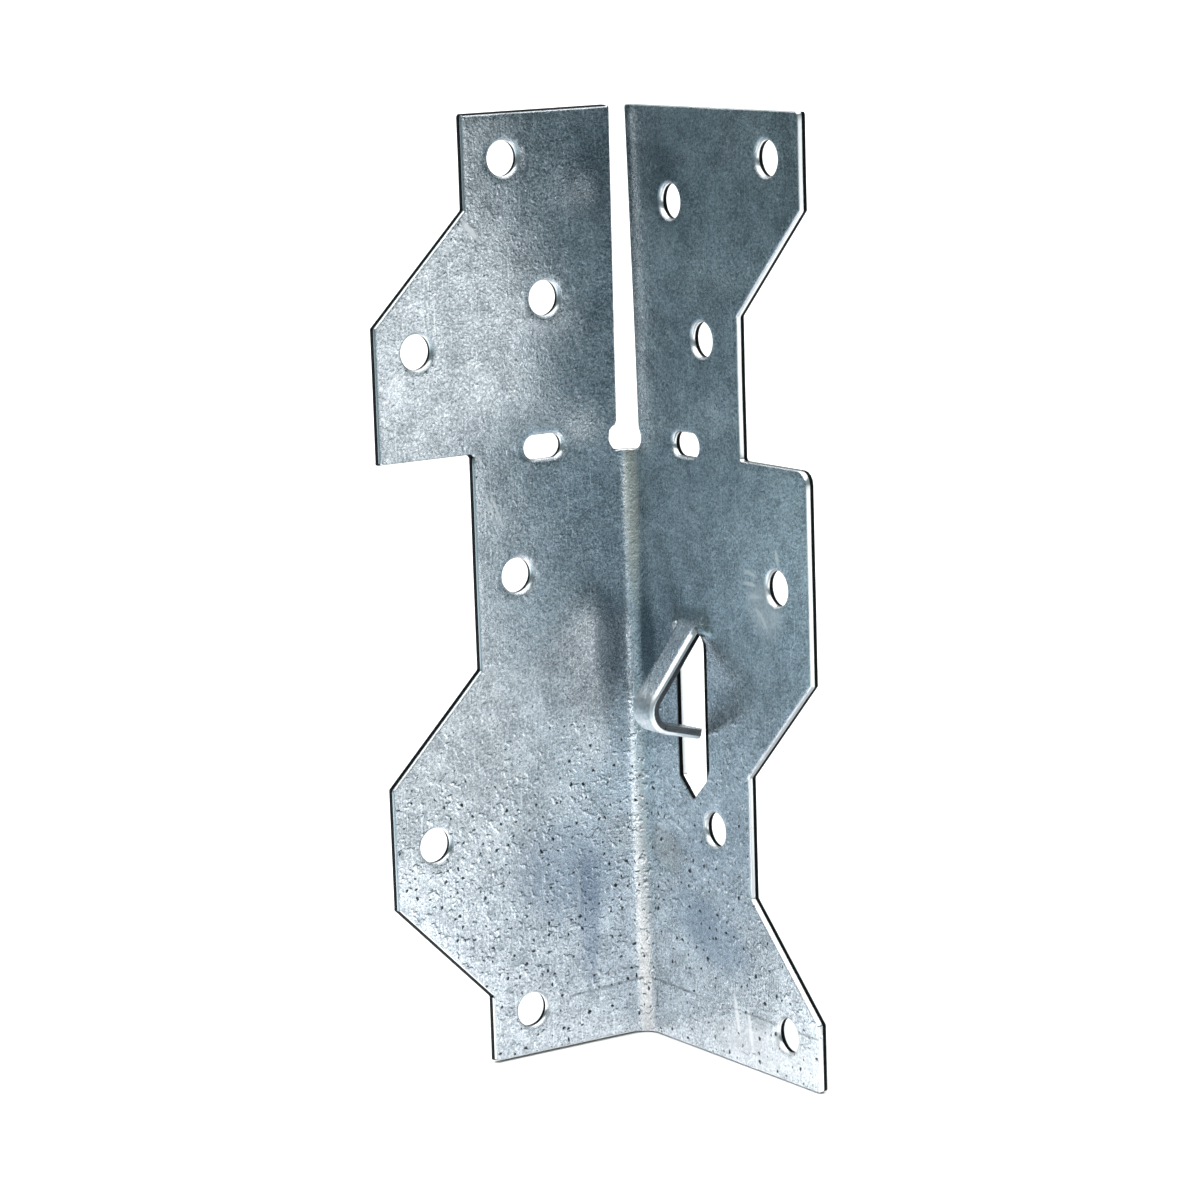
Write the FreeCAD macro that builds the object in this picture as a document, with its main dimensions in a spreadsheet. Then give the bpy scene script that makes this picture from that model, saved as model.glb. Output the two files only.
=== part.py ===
import FreeCAD, Part
import math
import os
import Sketcher

# Framing angle: one blank of galvanised sheet steel, punched flat and folded once to a right angle.
# The heel of the fold is the Z axis of the body. The right leg runs along +X with its back on the XZ
# plane, and the left leg runs along -Y with its back on the YZ plane, so the hollow side faces +X -Y.
# Above the bend line the fold is slit open, and each half can be bent over on site as a flap.

DIMENSIONS = [
    ("sheet", 1.2, "thickness of the steel"),
    ("height", 114.3, "length of the fold"),
    ("leg_wide", 36.5, "leg width at the ears, from the heel"),
    ("leg_narrow", 23.7, "leg width between the ears, from the heel"),
    ("fold_inside", 2.0, "inside radius of the fold"),
    ("slope_low", 8.15, "height at which the lowest slope of both edges starts"),
    ("slope_mid", 35.6, "height at which the middle slope of both edges starts"),
    ("slope_top", 90.3, "height at which the top slope of both edges starts"),
    ("step_left", 74.2, "height of the square step in the left edge"),
    ("step_right", 73.45, "height of the square step in the right edge"),
    ("ear_round", 1.6, "radius on the square corner of the right ear"),
    ("punch_round", 0.5, "radius the notching punch leaves in the other square corners"),
    ("nail_hole", 4.2, "diameter of the nail holes"),
    ("row_foot", 5.6, "height of the lowest pair of nail holes"),
    ("row_low", 28.1, "height of the second pair"),
    ("row_mid", 59.2, "height of the third pair"),
    ("row_high", 87.1, "height of the fourth pair"),
    ("row_head", 108.85, "height of the top pair"),
    ("inset_left", 5.6, "left nail holes, in from the edge of the leg"),
    ("inset_ear", 6.2, "right nail holes in the ears, in from the edge"),
    ("inset_waist", 7.2, "right nail holes between the ears, in from the edge"),
    ("fold_nail_left", 12.95, "left hole beside the slit, from the heel"),
    ("fold_nail_left_up", 92.0, "height of that hole"),
    ("fold_nail_right", 10.7, "right hole beside the slit, from the heel"),
    ("fold_nail_right_up", 103.1, "height of that hole"),
    ("bend_line", 74.3, "height of the line on which the flaps bend"),
    ("slot_width", 2.9, "width of the bend slots and of the relief"),
    ("slot_length", 5.4, "length of the bend slots"),
    ("slot_left", 13.8, "middle of the left bend slot, from the heel"),
    ("slot_right", 12.6, "middle of the right bend slot, from the heel"),
    ("relief_left", 4.4, "reach of the relief into the left leg, from the heel"),
    ("relief_right", 3.2, "reach of the relief into the right leg, from the heel"),
    ("slit_left", 3.2, "top of the slit, left flap, from the heel"),
    ("slit_right", 2.5, "top of the slit, right flap, from the heel"),
    ("slit_flare", 0.3, "how much wider each side of the slit is at its foot"),
    ("window_centre", 12.3, "middle of the prong's window, from the heel"),
    ("window_width", 5.5, "width of the window"),
    ("prong_width", 4.2, "width of the prong"),
    ("lance_gap", 0.1, "clearance between the prong and the outer side of its window"),
    ("window_point", 2.6, "length of the point at the foot of the window"),
    ("prong_point", 1.6, "length of the prong's own point, which its bending has blunted"),
    ("hinge_height", 54.15, "height at which the prong leaves the sheet"),
    ("hinge_inside", 1.0, "inside radius of the prong's root bend"),
    ("prong_lean", 38.5, "lean of the prong's upper leg out of the sheet, in degrees"),
    ("prong_reach", 7.6, "how far the knee stands off the inner face"),
    ("knee_inside", 1.8, "inside radius of the knee"),
    ("prong_dip", 14.5, "fall of the lower leg back to the sheet, in degrees"),
    ("tip_inset", 0.15, "how far the point stays inside the back face"),
    ("overrun", 3.0, "how far the notching cuts run past the edges"),
]

doc = FreeCAD.newDocument("FramingAngle")
dims = doc.addObject("Spreadsheet::Sheet", "Dims")
for row, (alias, value, note) in enumerate(DIMENSIONS, start=1):
    dims.set(f"A{row}", note)
    dims.set(f"B{row}", str(value))
    dims.setAlias(f"B{row}", alias)
doc.recompute()
size = {alias: float(dims.get(alias)) for alias, value, note in DIMENSIONS}

body = doc.addObject("PartDesign::Body", "FramingAngle")
body.Label = "framing_angle"
planes = {feature.Role: feature for feature in body.Origin.OriginFeatures}


def new_sketch(name, plane, offset=None):
    """A sketch on one of the body's origin planes, moved along its normal by an optional rule."""
    sketch = body.newObject("Sketcher::SketchObject", name)
    sketch.AttachmentSupport = [(planes[plane], "")]
    sketch.MapMode = "FlatFace"
    if offset:
        sketch.setExpression("AttachmentOffset.Base.z", offset)
    return sketch


def bind(sketch, constraint, name, rule):
    """Add a sketch dimension, name it and tie its value to the dimension cells."""
    index = sketch.addConstraint(constraint)
    sketch.renameConstraint(index, name)
    sketch.setExpression("Constraints." + name, rule)


def place(sketch, geometry, point, start, name, across, up):
    """Locate one point of the sketch from the origin by two tied distances."""
    bind(sketch, Sketcher.Constraint("DistanceX", -1, 1, geometry, point, start.x), name + "_x", across)
    bind(sketch, Sketcher.Constraint("DistanceY", -1, 1, geometry, point, start.y), name + "_y", up)


def polygon(sketch, name, corners):
    """A closed outline through corners, each a pair of rules over the dimension cells."""
    count = len(corners)
    first = sketch.GeometryCount
    turns = [2 * math.pi * (k + 0.3) / count for k in range(count)]
    rough = [FreeCAD.Vector(20 * math.cos(a), 20 * math.sin(a), 0) for a in turns]
    for k in range(count):
        sketch.addGeometry(Part.LineSegment(rough[k], rough[(k + 1) % count]), False)
    for k in range(count):
        sketch.addConstraint(Sketcher.Constraint("Coincident", first + k, 2, first + (k + 1) % count, 1))
    for k, (across, up) in enumerate(corners):
        place(sketch, first + k, 1, rough[k], f"{name}_{k + 1}", across, up)


def circle(sketch, name, across, up, diameter):
    """A round hole at a tied place."""
    geometry = sketch.GeometryCount
    rough = FreeCAD.Vector(10, 10 * (geometry + 1), 0)
    sketch.addGeometry(Part.Circle(rough, FreeCAD.Vector(0, 0, 1), 2), False)
    place(sketch, geometry, 3, rough, name, across, up)
    bind(sketch, Sketcher.Constraint("Diameter", geometry, 4), name + "_d", diameter)


def obround(sketch, name, left, right, rules):
    """A level slot with round ends: where the end centres start out, and the rules for both ends."""
    first = sketch.GeometryCount
    axis = FreeCAD.Vector(0, 0, 1)
    half = math.pi / 2
    radius = size["slot_width"] / 2
    drop = FreeCAD.Vector(0, radius, 0)
    sketch.addGeometry(Part.ArcOfCircle(Part.Circle(left, axis, radius), half, 3 * half), False)
    sketch.addGeometry(Part.ArcOfCircle(Part.Circle(right, axis, radius), -half, half), False)
    sketch.addGeometry(Part.LineSegment(left - drop, right - drop), False)
    sketch.addGeometry(Part.LineSegment(right + drop, left + drop), False)
    sketch.addConstraint(Sketcher.Constraint("Tangent", first, 2, first + 2, 1))
    sketch.addConstraint(Sketcher.Constraint("Tangent", first + 2, 2, first + 1, 1))
    sketch.addConstraint(Sketcher.Constraint("Tangent", first + 1, 2, first + 3, 1))
    sketch.addConstraint(Sketcher.Constraint("Tangent", first + 3, 2, first, 1))
    sketch.addConstraint(Sketcher.Constraint("Horizontal", first + 2))
    place(sketch, first, 3, left, name + "_a", rules[0], "Dims.bend_line")
    bind(sketch, Sketcher.Constraint("DistanceX", -1, 1, first + 1, 3, right.x), name + "_b_x", rules[1])
    bind(sketch, Sketcher.Constraint("Radius", first, radius), name + "_r", "Dims.slot_width / 2")


def cut(name, sketch, depth=None, middle=False):
    """Pocket a sketch, through everything or to a tied depth on the hollow side of its plane."""
    before = body.Tip.Shape.Volume
    pocket = body.newObject("PartDesign::Pocket", name)
    pocket.Profile = sketch
    if depth is None:
        pocket.Type = "ThroughAll"
    else:
        pocket.Type = "Length"
        pocket.setExpression("Length", depth)
    if depth is None or middle:
        pocket.SideType = "Symmetric"
    else:
        pocket.Reversed = True
    doc.recompute()
    if pocket.Shape.Volume > before - 0.01:
        raise RuntimeError(name + " removes no steel")
    return pocket


def edge_names(shape, axis, places):
    """Names of the straight edges along an axis that pass through the given places."""
    direction = {"x": FreeCAD.Vector(1, 0, 0), "y": FreeCAD.Vector(0, 1, 0), "z": FreeCAD.Vector(0, 0, 1)}[axis]
    names = []
    for target in places:
        for number, edge in enumerate(shape.Edges, start=1):
            run = edge.Vertexes[-1].Point - edge.Vertexes[0].Point
            if run.Length < 0.01 or run.cross(direction).Length > 0.001 * run.Length:
                continue
            aside = (edge.CenterOfMass - target).cross(direction).Length
            if aside < 0.02:
                names.append(f"Edge{number}")
    if len(names) < len(places):
        raise RuntimeError(f"an edge along {axis} is missing")
    return names


def round_edges(name, axis, places, radius):
    """Fillet the edges along an axis at the given places."""
    base = body.Tip
    fillet = body.newObject("PartDesign::Fillet", name)
    fillet.Base = (base, edge_names(base.Shape, axis, places))
    fillet.setExpression("Radius", radius)
    doc.recompute()
    return fillet


# The folded strip: a sharp right angle of full-width legs, drawn in plan, then rounded inside and outside
# the fold with one thickness between the two radii.
plan = new_sketch("FoldPlan", "XY_Plane")
polygon(plan, "leg", [
    ("0", "0"),
    ("0", "-Dims.leg_wide"),
    ("Dims.sheet", "-Dims.leg_wide"),
    ("Dims.sheet", "-Dims.sheet"),
    ("Dims.leg_wide", "-Dims.sheet"),
    ("Dims.leg_wide", "0"),
])
strip = body.newObject("PartDesign::Pad", "FoldedStrip")
strip.Profile = plan
strip.setExpression("Length", "Dims.height")
doc.recompute()
inner_corner = FreeCAD.Vector(size["sheet"], -size["sheet"], size["height"] / 2)
outer_corner = FreeCAD.Vector(0, 0, size["height"] / 2)
round_edges("FoldInside", "z", [inner_corner], "Dims.fold_inside")
round_edges("FoldOutside", "z", [outer_corner], "Dims.fold_inside + Dims.sheet")

# The edges of the two legs. Blanks lie nose to tail in the coil, so what is an ear on one leg is a notch on
# the other, at the same heights, and every slope climbs at 45 degrees.
EAR = "(Dims.leg_wide - Dims.leg_narrow)"
LEFT_EDGE = "-Dims.leg_narrow"
LEFT_OUT = "-Dims.leg_wide - Dims.overrun"
RIGHT_EDGE = "Dims.leg_narrow"
RIGHT_OUT = "Dims.leg_wide + Dims.overrun"

left_edge = new_sketch("LeftEdge", "YZ_Plane")
polygon(left_edge, "foot", [
    (LEFT_EDGE, "-Dims.overrun"),
    (LEFT_OUT, "-Dims.overrun"),
    (LEFT_OUT, "Dims.slope_low + Dims.overrun + " + EAR),
    (LEFT_EDGE, "Dims.slope_low"),
])
polygon(left_edge, "waist", [
    (LEFT_EDGE, "Dims.slope_mid + " + EAR),
    (LEFT_OUT, "Dims.slope_mid - Dims.overrun"),
    (LEFT_OUT, "Dims.step_left"),
    (LEFT_EDGE, "Dims.step_left"),
])
polygon(left_edge, "head", [
    (LEFT_EDGE, "Dims.slope_top + " + EAR),
    (LEFT_OUT, "Dims.slope_top - Dims.overrun"),
    (LEFT_OUT, "Dims.height + Dims.overrun"),
    (LEFT_EDGE, "Dims.height + Dims.overrun"),
])
cut("LeftNotches", left_edge)

right_edge = new_sketch("RightEdge", "XZ_Plane")
polygon(right_edge, "low", [
    (RIGHT_EDGE, "Dims.slope_low + " + EAR),
    (RIGHT_OUT, "Dims.slope_low - Dims.overrun"),
    (RIGHT_OUT, "Dims.slope_mid + Dims.overrun + " + EAR),
    (RIGHT_EDGE, "Dims.slope_mid"),
])
polygon(right_edge, "high", [
    (RIGHT_EDGE, "Dims.step_right"),
    (RIGHT_OUT, "Dims.step_right"),
    (RIGHT_OUT, "Dims.slope_top + Dims.overrun + " + EAR),
    (RIGHT_EDGE, "Dims.slope_top"),
])
cut("RightNotches", right_edge)

# The square corners: a fair round on the right ear, and the small radius of the punch in the others.
middle = size["sheet"] / 2
round_edges("EarCorner", "y", [
    FreeCAD.Vector(size["leg_wide"], -middle, size["step_right"]),
], "Dims.ear_round")
round_edges("LeftStepCorners", "x", [
    FreeCAD.Vector(middle, -size["leg_wide"], size["step_left"]),
    FreeCAD.Vector(middle, -size["leg_narrow"], size["step_left"]),
], "Dims.punch_round")
round_edges("RightStepCorner", "y", [
    FreeCAD.Vector(size["leg_narrow"], -middle, size["step_right"]),
], "Dims.punch_round")

# The slit opens the fold from the top down to the bend line, a little wider at its foot, and ends in a
# relief with round ends. Each cut into one leg is as deep as the opening reaches straight into the other leg,
# so that it clears the fold and leaves the other flap whole.
left_slit = new_sketch("LeftSlitSide", "YZ_Plane")
polygon(left_slit, "slit", [
    ("Dims.overrun", "Dims.bend_line"),
    ("-Dims.slit_left - Dims.slit_flare", "Dims.bend_line"),
    ("-Dims.slit_left", "Dims.height"),
    ("-Dims.slit_left", "Dims.height + Dims.overrun"),
    ("Dims.overrun", "Dims.height + Dims.overrun"),
])
cut("LeftSlit", left_slit, "Dims.slit_right")
right_slit = new_sketch("RightSlitSide", "XZ_Plane")
polygon(right_slit, "slit", [
    ("-Dims.overrun", "Dims.bend_line"),
    ("Dims.slit_right + Dims.slit_flare", "Dims.bend_line"),
    ("Dims.slit_right", "Dims.height"),
    ("Dims.slit_right", "Dims.height + Dims.overrun"),
    ("-Dims.overrun", "Dims.height + Dims.overrun"),
])
cut("RightSlit", right_slit, "Dims.slit_left")
slot_half = size["slot_width"] / 2
left_relief = new_sketch("LeftReliefSide", "YZ_Plane")
obround(
    left_relief, "relief",
    FreeCAD.Vector(slot_half - size["relief_left"], size["bend_line"], 0),
    FreeCAD.Vector(size["overrun"], size["bend_line"], 0),
    ("Dims.slot_width / 2 - Dims.relief_left", "Dims.overrun"),
)
cut("LeftRelief", left_relief, "Dims.relief_right - Dims.slot_width / 2")
right_relief = new_sketch("RightReliefSide", "XZ_Plane")
obround(
    right_relief, "relief",
    FreeCAD.Vector(-size["overrun"], size["bend_line"], 0),
    FreeCAD.Vector(size["relief_right"] - slot_half, size["bend_line"], 0),
    ("-Dims.overrun", "Dims.relief_right - Dims.slot_width / 2"),
)
cut("RightRelief", right_relief, "Dims.relief_left - Dims.slot_width / 2")

# Nail holes and bend slots. Five pairs stand at shared heights, each hole set in from the edge of its leg,
# and one more hole on each flap stands beside the slit. The slots weaken the line on which the flaps bend.
SLOT_RUN = "(Dims.slot_length - Dims.slot_width) / 2"
slot_run = (size["slot_length"] - size["slot_width"]) / 2
left_holes = new_sketch("LeftHoles", "YZ_Plane")
circle(left_holes, "foot", "-Dims.leg_narrow + Dims.inset_left", "Dims.row_foot", "Dims.nail_hole")
circle(left_holes, "low", "-Dims.leg_wide + Dims.inset_left", "Dims.row_low", "Dims.nail_hole")
circle(left_holes, "mid", "-Dims.leg_narrow + Dims.inset_left", "Dims.row_mid", "Dims.nail_hole")
circle(left_holes, "high", "-Dims.leg_wide + Dims.inset_left", "Dims.row_high", "Dims.nail_hole")
circle(left_holes, "head", "-Dims.leg_narrow + Dims.inset_left", "Dims.row_head", "Dims.nail_hole")
circle(left_holes, "fold", "-Dims.fold_nail_left", "Dims.fold_nail_left_up", "Dims.nail_hole")
obround(
    left_holes, "slot",
    FreeCAD.Vector(-size["slot_left"] - slot_run, size["bend_line"], 0),
    FreeCAD.Vector(-size["slot_left"] + slot_run, size["bend_line"], 0),
    ("-Dims.slot_left - " + SLOT_RUN, "-Dims.slot_left + " + SLOT_RUN),
)
cut("LeftPunching", left_holes)

right_holes = new_sketch("RightHoles", "XZ_Plane")
circle(right_holes, "foot", "Dims.leg_wide - Dims.inset_ear", "Dims.row_foot", "Dims.nail_hole")
circle(right_holes, "low", "Dims.leg_narrow - Dims.inset_waist", "Dims.row_low", "Dims.nail_hole")
circle(right_holes, "mid", "Dims.leg_wide - Dims.inset_ear", "Dims.row_mid", "Dims.nail_hole")
circle(right_holes, "high", "Dims.leg_narrow - Dims.inset_waist", "Dims.row_high", "Dims.nail_hole")
circle(right_holes, "head", "Dims.leg_wide - Dims.inset_ear", "Dims.row_head", "Dims.nail_hole")
circle(right_holes, "fold", "Dims.fold_nail_right", "Dims.fold_nail_right_up", "Dims.nail_hole")
obround(
    right_holes, "slot",
    FreeCAD.Vector(size["slot_right"] - slot_run, size["bend_line"], 0),
    FreeCAD.Vector(size["slot_right"] + slot_run, size["bend_line"], 0),
    ("Dims.slot_right - " + SLOT_RUN, "Dims.slot_right + " + SLOT_RUN),
)
cut("RightPunching", right_holes)

# The path of the prong, drawn in the upright plane through its middle: it leaves the sheet at the root bend,
# runs out along the upper leg, turns round the knee and comes back to a point just inside the back face.
PRONG_CENTRE = "(Dims.window_centre + (Dims.window_width - Dims.prong_width) / 2 - Dims.lance_gap)"
lean = math.radians(size["prong_lean"])
dip = math.radians(size["prong_dip"])
root_radius = size["hinge_inside"] + middle
knee_radius = size["knee_inside"] + middle
normal = FreeCAD.Vector(0, 0, 1)
root = FreeCAD.Vector(-middle, size["hinge_height"], 0)
root_centre = root - FreeCAD.Vector(root_radius, 0, 0)
upper_start = root_centre + FreeCAD.Vector(math.cos(lean), -math.sin(lean), 0) * root_radius
knee_x = size["knee_inside"] - size["prong_reach"]
upper_length = (upper_start.x - knee_x + knee_radius * math.cos(lean)) / math.sin(lean)
upper_end = upper_start - FreeCAD.Vector(math.sin(lean), math.cos(lean), 0) * upper_length
knee = upper_end + FreeCAD.Vector(math.cos(lean), -math.sin(lean), 0) * knee_radius
lower_start = knee - FreeCAD.Vector(math.sin(dip), math.cos(dip), 0) * knee_radius
lower_length = (-size["tip_inset"] - lower_start.x) / math.cos(dip)
tip = lower_start + FreeCAD.Vector(math.cos(dip), -math.sin(dip), 0) * lower_length

path = new_sketch("ProngPath", "YZ_Plane", PRONG_CENTRE)
root_bend = path.addGeometry(
    Part.ArcOfCircle(Part.Circle(root_centre, normal, root_radius), -lean, 0), False)
upper_leg = path.addGeometry(Part.LineSegment(upper_start, upper_end), False)
knee_bend = path.addGeometry(
    Part.ArcOfCircle(Part.Circle(knee, normal, knee_radius), math.pi - lean, 1.5 * math.pi - dip), False)
lower_leg = path.addGeometry(Part.LineSegment(lower_start, tip), False)
path.addConstraint(Sketcher.Constraint("Horizontal", root_bend, 3, root_bend, 2))
path.addConstraint(Sketcher.Constraint("Tangent", root_bend, 1, upper_leg, 1))
path.addConstraint(Sketcher.Constraint("Tangent", upper_leg, 2, knee_bend, 1))
path.addConstraint(Sketcher.Constraint("Tangent", knee_bend, 2, lower_leg, 1))
place(path, root_bend, 2, root, "root", "-Dims.sheet / 2", "Dims.hinge_height")
for name, constraint, rule in [
    ("root_r", Sketcher.Constraint("Radius", root_bend, root_radius), "Dims.hinge_inside + Dims.sheet / 2"),
    ("knee_r", Sketcher.Constraint("Radius", knee_bend, knee_radius), "Dims.knee_inside + Dims.sheet / 2"),
    ("lean", Sketcher.Constraint("Angle", upper_leg, -math.pi / 2 - lean), "-(90 + Dims.prong_lean) * 1 deg"),
    ("dip", Sketcher.Constraint("Angle", lower_leg, -dip), "-Dims.prong_dip * 1 deg"),
    ("knee_x", Sketcher.Constraint("DistanceX", -1, 1, knee_bend, 3, knee_x),
     "Dims.knee_inside - Dims.prong_reach"),
    ("tip_x", Sketcher.Constraint("DistanceX", -1, 1, lower_leg, 2, tip.x), "-Dims.tip_inset"),
]:
    bind(path, constraint, name, rule)
for name, constraint in [
    ("upper_run", Sketcher.Constraint("Distance", upper_leg, upper_length)),
    ("lower_run", Sketcher.Constraint("Distance", lower_leg, lower_length)),
    ("tip_height", Sketcher.Constraint("DistanceY", -1, 1, lower_leg, 2, tip.y)),
]:
    index = path.addConstraint(constraint)
    path.setDriving(index, False)
    path.renameConstraint(index, name)
doc.recompute()

# The window that the prong was lanced from: as long as the prong is along its path, and pointed at its foot.
WINDOW_LEFT = "Dims.window_centre - Dims.window_width / 2"
WINDOW_RIGHT = "Dims.window_centre + Dims.window_width / 2"
BENDS = ("(Dims.hinge_inside + Dims.sheet / 2) * Dims.prong_lean * pi / 180"
         " + (Dims.knee_inside + Dims.sheet / 2) * (90 + Dims.prong_lean - Dims.prong_dip) * pi / 180")
LEGS = "ProngPath.Constraints.upper_run / 1 mm + ProngPath.Constraints.lower_run / 1 mm"
WINDOW_FOOT = "Dims.hinge_height - (" + BENDS + " + " + LEGS + ")"
window = new_sketch("Window", "XZ_Plane")
polygon(window, "window", [
    (WINDOW_LEFT, "Dims.hinge_height"),
    (WINDOW_LEFT, WINDOW_FOOT + " + Dims.window_point"),
    ("Dims.window_centre", WINDOW_FOOT),
    (WINDOW_RIGHT, WINDOW_FOOT + " + Dims.window_point"),
    (WINDOW_RIGHT, "Dims.hinge_height"),
])
cut("ProngWindow", window)

# The prong: a strip of the sheet's own thickness swept along the path, then tapered to its point.
PRONG_LEFT = PRONG_CENTRE + " - Dims.prong_width / 2"
PRONG_RIGHT = PRONG_CENTRE + " + Dims.prong_width / 2"
section = new_sketch("ProngSection", "XY_Plane", "Dims.hinge_height")
polygon(section, "section", [
    (PRONG_LEFT, "0"),
    (PRONG_LEFT, "-Dims.sheet"),
    (PRONG_RIGHT, "-Dims.sheet"),
    (PRONG_RIGHT, "0"),
])
doc.recompute()
prong = body.newObject("PartDesign::AdditivePipe", "Prong")
prong.Profile = section
prong.Spine = path
prong.Mode = "Standard"
doc.recompute()

POINT_START = "-Dims.tip_inset - Dims.prong_point * cos(Dims.prong_dip * 1 deg)"
point = new_sketch("ProngPoint", "XY_Plane", "ProngPath.Constraints.tip_height")
for name, side, clear in [
    ("left", PRONG_LEFT, PRONG_LEFT + " - Dims.lance_gap / 2"),
    ("right", PRONG_RIGHT, PRONG_RIGHT + " + Dims.lance_gap / 2"),
]:
    polygon(point, name, [
        (PRONG_CENTRE, "-Dims.tip_inset"),
        (side, POINT_START),
        (clear, POINT_START),
        (clear, "Dims.sheet"),
        (PRONG_CENTRE, "Dims.sheet"),
    ])
cut("ProngTaper", point, "4 * Dims.sheet", middle=True)

# The finished angle stands on the floor with the middle of its box over the origin.
body.setExpression("Placement.Base.x", "-Dims.leg_wide / 2")
body.setExpression("Placement.Base.y", "Dims.leg_wide / 2")
doc.recompute()

for feature in doc.Objects:
    if "Invalid" in feature.State or "Error" in feature.State:
        raise RuntimeError(feature.Name + " did not build")
shape = body.Shape
if shape.isNull() or not shape.isValid() or len(shape.Solids) != 1:
    raise RuntimeError("the angle is not one sound solid")

os.makedirs("parts", exist_ok=True)
shape.exportStep(os.path.join("parts", body.Label + ".step"))
box = shape.BoundBox
print(f"{body.Label}: {shape.Volume:.1f} cubic mm")
print(f"overall {box.XLength:.2f} x {box.YLength:.2f} x {box.ZLength:.2f} mm")
print(f"prong legs {upper_length:.2f} and {lower_length:.2f} mm, point at {tip.y:.2f} mm")
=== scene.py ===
import math

import bpy
import numpy as np
from mathutils import Matrix, Vector
from mathutils.geometry import delaunay_2d_cdt


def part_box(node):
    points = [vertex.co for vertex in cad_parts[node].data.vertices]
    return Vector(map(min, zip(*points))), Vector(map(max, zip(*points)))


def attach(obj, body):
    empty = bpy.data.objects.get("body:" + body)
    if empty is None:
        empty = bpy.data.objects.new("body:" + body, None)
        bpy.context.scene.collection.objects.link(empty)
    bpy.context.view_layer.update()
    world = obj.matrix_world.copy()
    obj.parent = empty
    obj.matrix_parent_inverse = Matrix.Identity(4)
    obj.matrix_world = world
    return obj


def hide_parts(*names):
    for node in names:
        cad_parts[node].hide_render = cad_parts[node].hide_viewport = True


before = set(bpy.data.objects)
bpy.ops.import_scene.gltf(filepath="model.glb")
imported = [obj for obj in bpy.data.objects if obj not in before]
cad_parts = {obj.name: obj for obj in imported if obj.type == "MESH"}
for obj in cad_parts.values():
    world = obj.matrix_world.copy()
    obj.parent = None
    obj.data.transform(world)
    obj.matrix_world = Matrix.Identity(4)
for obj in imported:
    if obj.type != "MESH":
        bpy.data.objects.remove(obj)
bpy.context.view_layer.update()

# The blank is one piece of galvanised sheet steel, 1.2 mm thick, notched and punched while it is still flat.
# It is drawn here as it lies on the press: s runs across it from the middle of the fold, positive on the
# right leg, and z runs along the fold. All lengths are millimetres until the mesh is made.
low, high = (np.array(corner) * 1000 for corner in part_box("framing_angle"))
SHEET = 1.2
HEIGHT = high[2] - low[2]
LEG_WIDE = high[0] - low[0]
LEG_NARROW = 23.7
EAR = LEG_WIDE - LEG_NARROW
SLOPE_LOW, SLOPE_MID, SLOPE_TOP = 8.15, 35.6, 90.3
STEP_LEFT, STEP_RIGHT = 74.2, 73.45
EAR_ROUND, PUNCH_ROUND = 1.6, 0.4
BEND_LINE, SLOT_WIDTH = 74.3, 2.9
FOLD_OUTER = 3.2
FOLD_MIDDLE = FOLD_OUTER - SHEET / 2
FOLD_HALF = FOLD_MIDDLE * math.pi / 4
RIGHT, LEFT = 1, -1
OUTLINE_STEP = 0.8


def on_blank(leg, from_heel):
    """Distance across the blank: the leg's flat part, plus half the length of the fold's middle line."""
    return leg * (from_heel - FOLD_OUTER + FOLD_HALF)


def rounded(corners, steps=5):
    """A closed outline through corners (s, z, radius): each becomes an arc that touches both its sides."""
    corners = np.array(corners, float)
    point, radius = corners[:, :2], corners[:, 2:]
    back = np.roll(point, 1, 0) - point
    ahead = np.roll(point, -1, 0) - point
    back /= np.linalg.norm(back, axis=1, keepdims=True)
    ahead /= np.linalg.norm(ahead, axis=1, keepdims=True)
    half = np.arccos(np.clip((back * ahead).sum(1, keepdims=True), -1, 1)) / 2
    inward = back + ahead
    inward /= np.maximum(np.linalg.norm(inward, axis=1, keepdims=True), 1e-9)
    centre = point + inward * radius / np.sin(half)
    first = point + back * radius / np.tan(half) - centre
    last = point + ahead * radius / np.tan(half) - centre
    turn = np.maximum(math.pi - 2 * half, 1e-6)[:, None]
    part = np.linspace(0, 1, steps)[None, :, None]
    arcs = np.sin((1 - part) * turn) * first[:, None] + np.sin(part * turn) * last[:, None]
    loop = (centre[:, None] + arcs / np.sin(turn)).reshape(-1, 2)
    return loop[np.linalg.norm(np.roll(loop, -1, 0) - loop, axis=1) > 1e-4]


def divided(loop, step):
    """The same closed outline with every side longer than step cut into equal parts."""
    side = np.roll(loop, -1, 0) - loop
    parts = np.ceil(np.linalg.norm(side, axis=1) / step).astype(int)
    which = np.repeat(np.arange(len(loop)), parts)
    share = (np.arange(len(which)) - np.repeat(np.cumsum(parts) - parts, parts)) / parts[which]
    return loop[which] + side[which] * share[:, None]


def relief_arc(leg, centre, start, end, steps=9):
    """Corners without a radius on a circle as wide as a bend slot, from one angle in degrees to another."""
    angle = np.radians(np.linspace(start, end, steps))
    across = on_blank(leg, centre) + leg * SLOT_WIDTH / 2 * np.cos(angle)
    return np.stack([across, BEND_LINE + SLOT_WIDTH / 2 * np.sin(angle), np.zeros(steps)], 1).tolist()


def side_of(leg, corners):
    """Corners of one leg's edge, given by their distance from the heel."""
    return [(on_blank(leg, u), z, r) for u, z, r in corners]


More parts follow.
